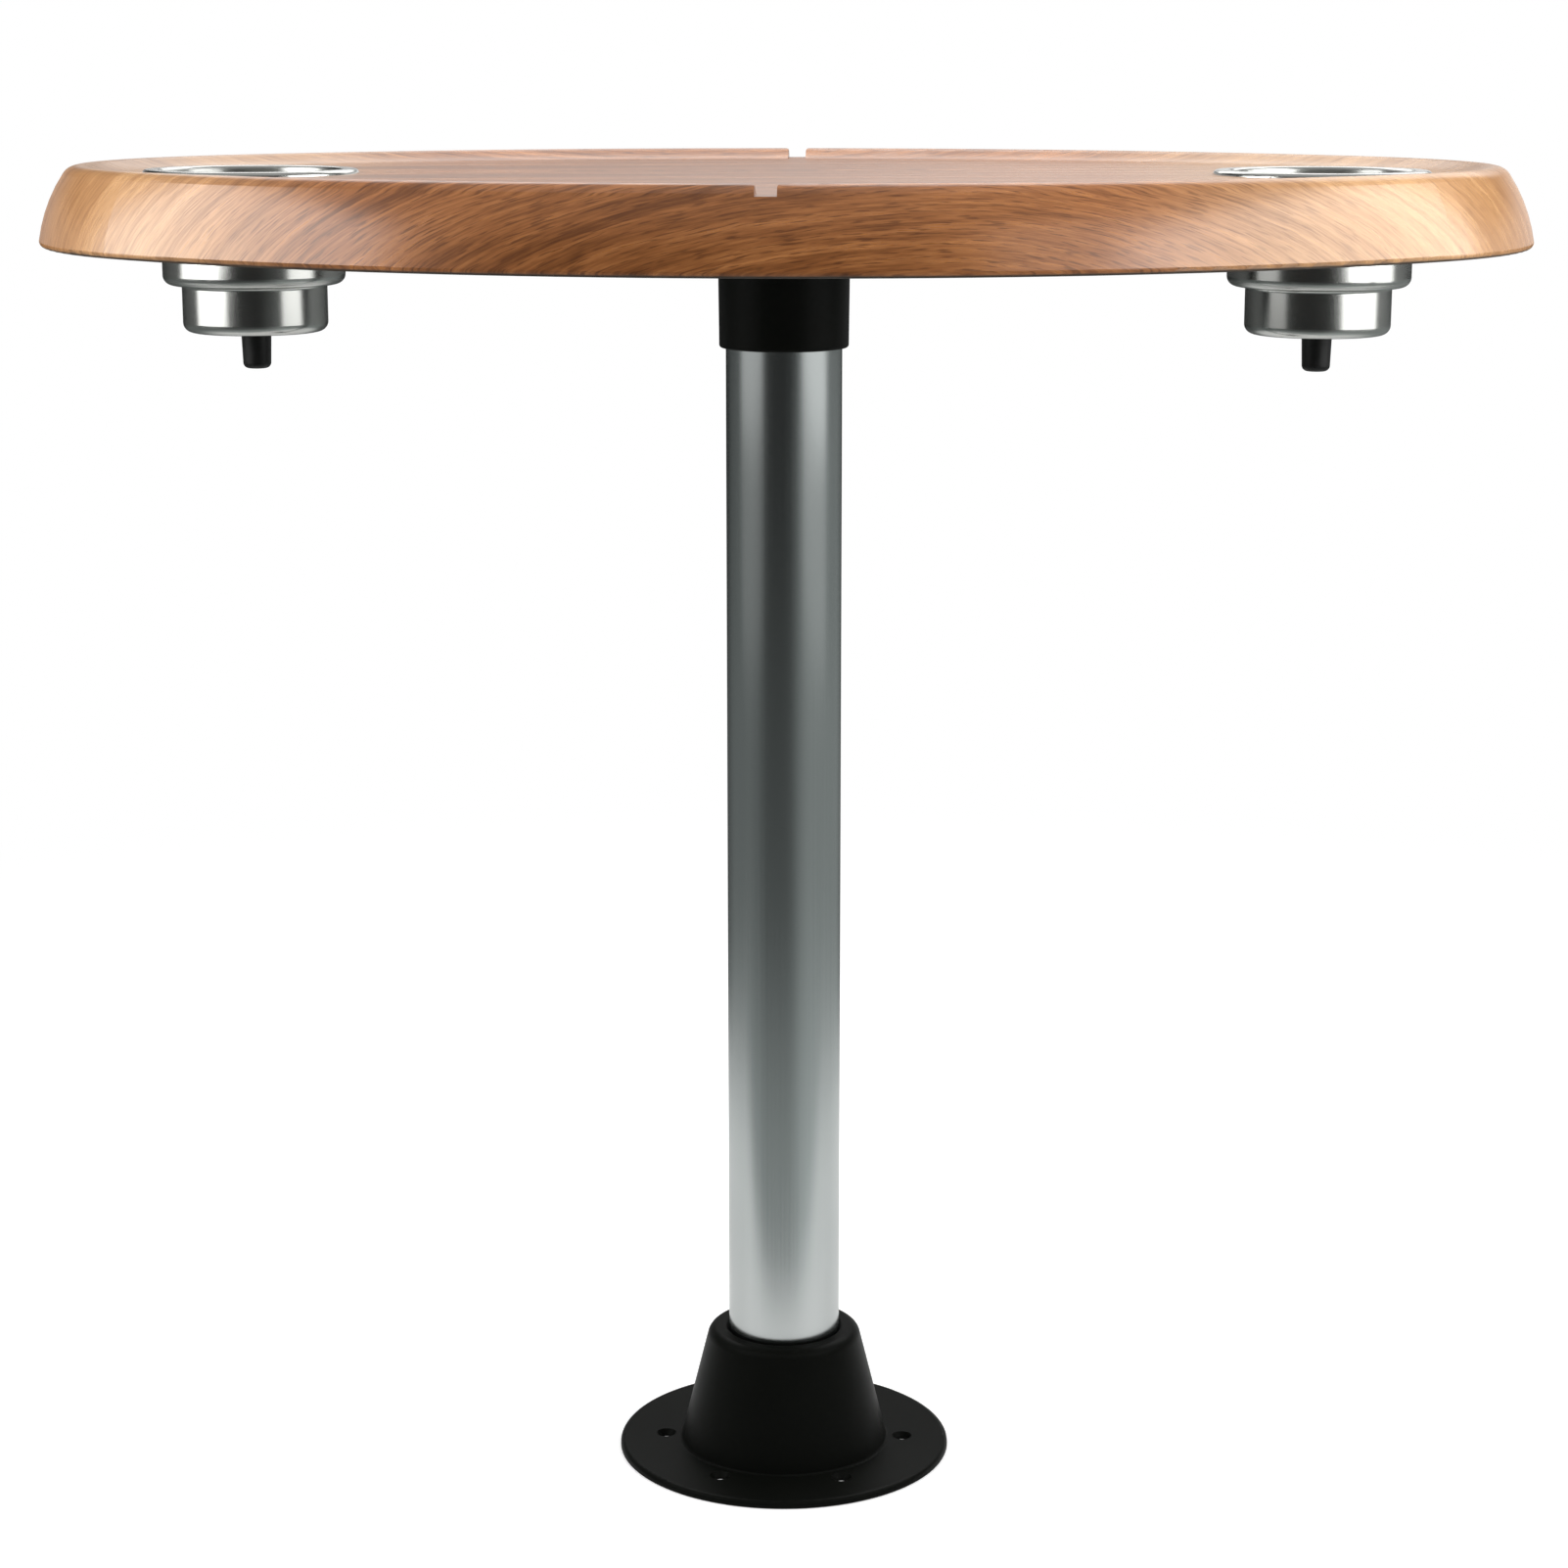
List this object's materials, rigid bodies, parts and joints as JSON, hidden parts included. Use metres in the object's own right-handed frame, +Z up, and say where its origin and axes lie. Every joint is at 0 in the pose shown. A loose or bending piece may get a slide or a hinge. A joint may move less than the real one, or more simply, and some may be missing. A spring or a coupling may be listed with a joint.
{
  "type": "boat pedestal table",
  "caption": "Oval boat pedestal table: wood-print top with raised rim, drop-in steel drink holders with drains, and an aluminium tube standing in a screw-down deck base.",
  "frame": {"origin": "centre of the deck flange's underside, on the axis of the tube", "axes": "+Z up along the tube, +X along the top's length towards the right drink holder, +Y across the top towards its rear notch"},
  "size_m": [0.755, 0.54, 0.6945],
  "materials": {
    "teak_print": "satin teak print under a clear film",
    "underside_plastic": "matt brown sheet with a fine texture",
    "plywood": "bare birch plywood",
    "tube_aluminium": "drawn and anodised, satin",
    "black_moulding": "satin black moulding",
    "stainless": "bright polished sheet",
    "black_rubber": "matt black rubber"
  },
  "bodies": {
    "base": {"floor_base": "black_moulding"},
    "leg": {"pedestal_tube": "tube_aluminium"},
    "top": {"table_socket": "black_moulding", "socket_screws": "stainless", "top_shell": "teak_print", "underside_panel": "underside_plastic", "core_board": "plywood", "mounting_block": "plywood"},
    "left_cup": {"left_cup": "stainless", "left_cup_gasket": "black_rubber", "left_drain_spigot": "stainless"},
    "left_cap": {"left_drain_cap": "black_rubber"},
    "right_cup": {"right_cup": "stainless", "right_cup_gasket": "black_rubber", "right_drain_spigot": "stainless"},
    "right_cap": {"right_drain_cap": "black_rubber"}
  },
  "joints": [
    {"name": "leg_lift", "type": "slide", "parent": "base", "child": "leg", "axis": [0, 0, 1], "range_m": [0, 0.1]},
    {"name": "top_swivel", "type": "hinge", "parent": "leg", "child": "top", "pos_m": [0, 0, 0.6505], "axis": [0, 0, 1], "continuous": true},
    {"name": "left_cup_lift", "type": "slide", "parent": "top", "child": "left_cup", "axis": [0, 0, 1], "range_m": [0, 0.12]},
    {"name": "left_cap_pull", "type": "slide", "parent": "left_cup", "child": "left_cap", "axis": [0, 0, -1], "range_m": [0, 0.03]},
    {"name": "right_cup_lift", "type": "slide", "parent": "top", "child": "right_cup", "axis": [0, 0, 1], "range_m": [0, 0.12]},
    {"name": "right_cap_pull", "type": "slide", "parent": "right_cup", "child": "right_cap", "axis": [0, 0, -1], "range_m": [0, 0.03]}
  ]
}
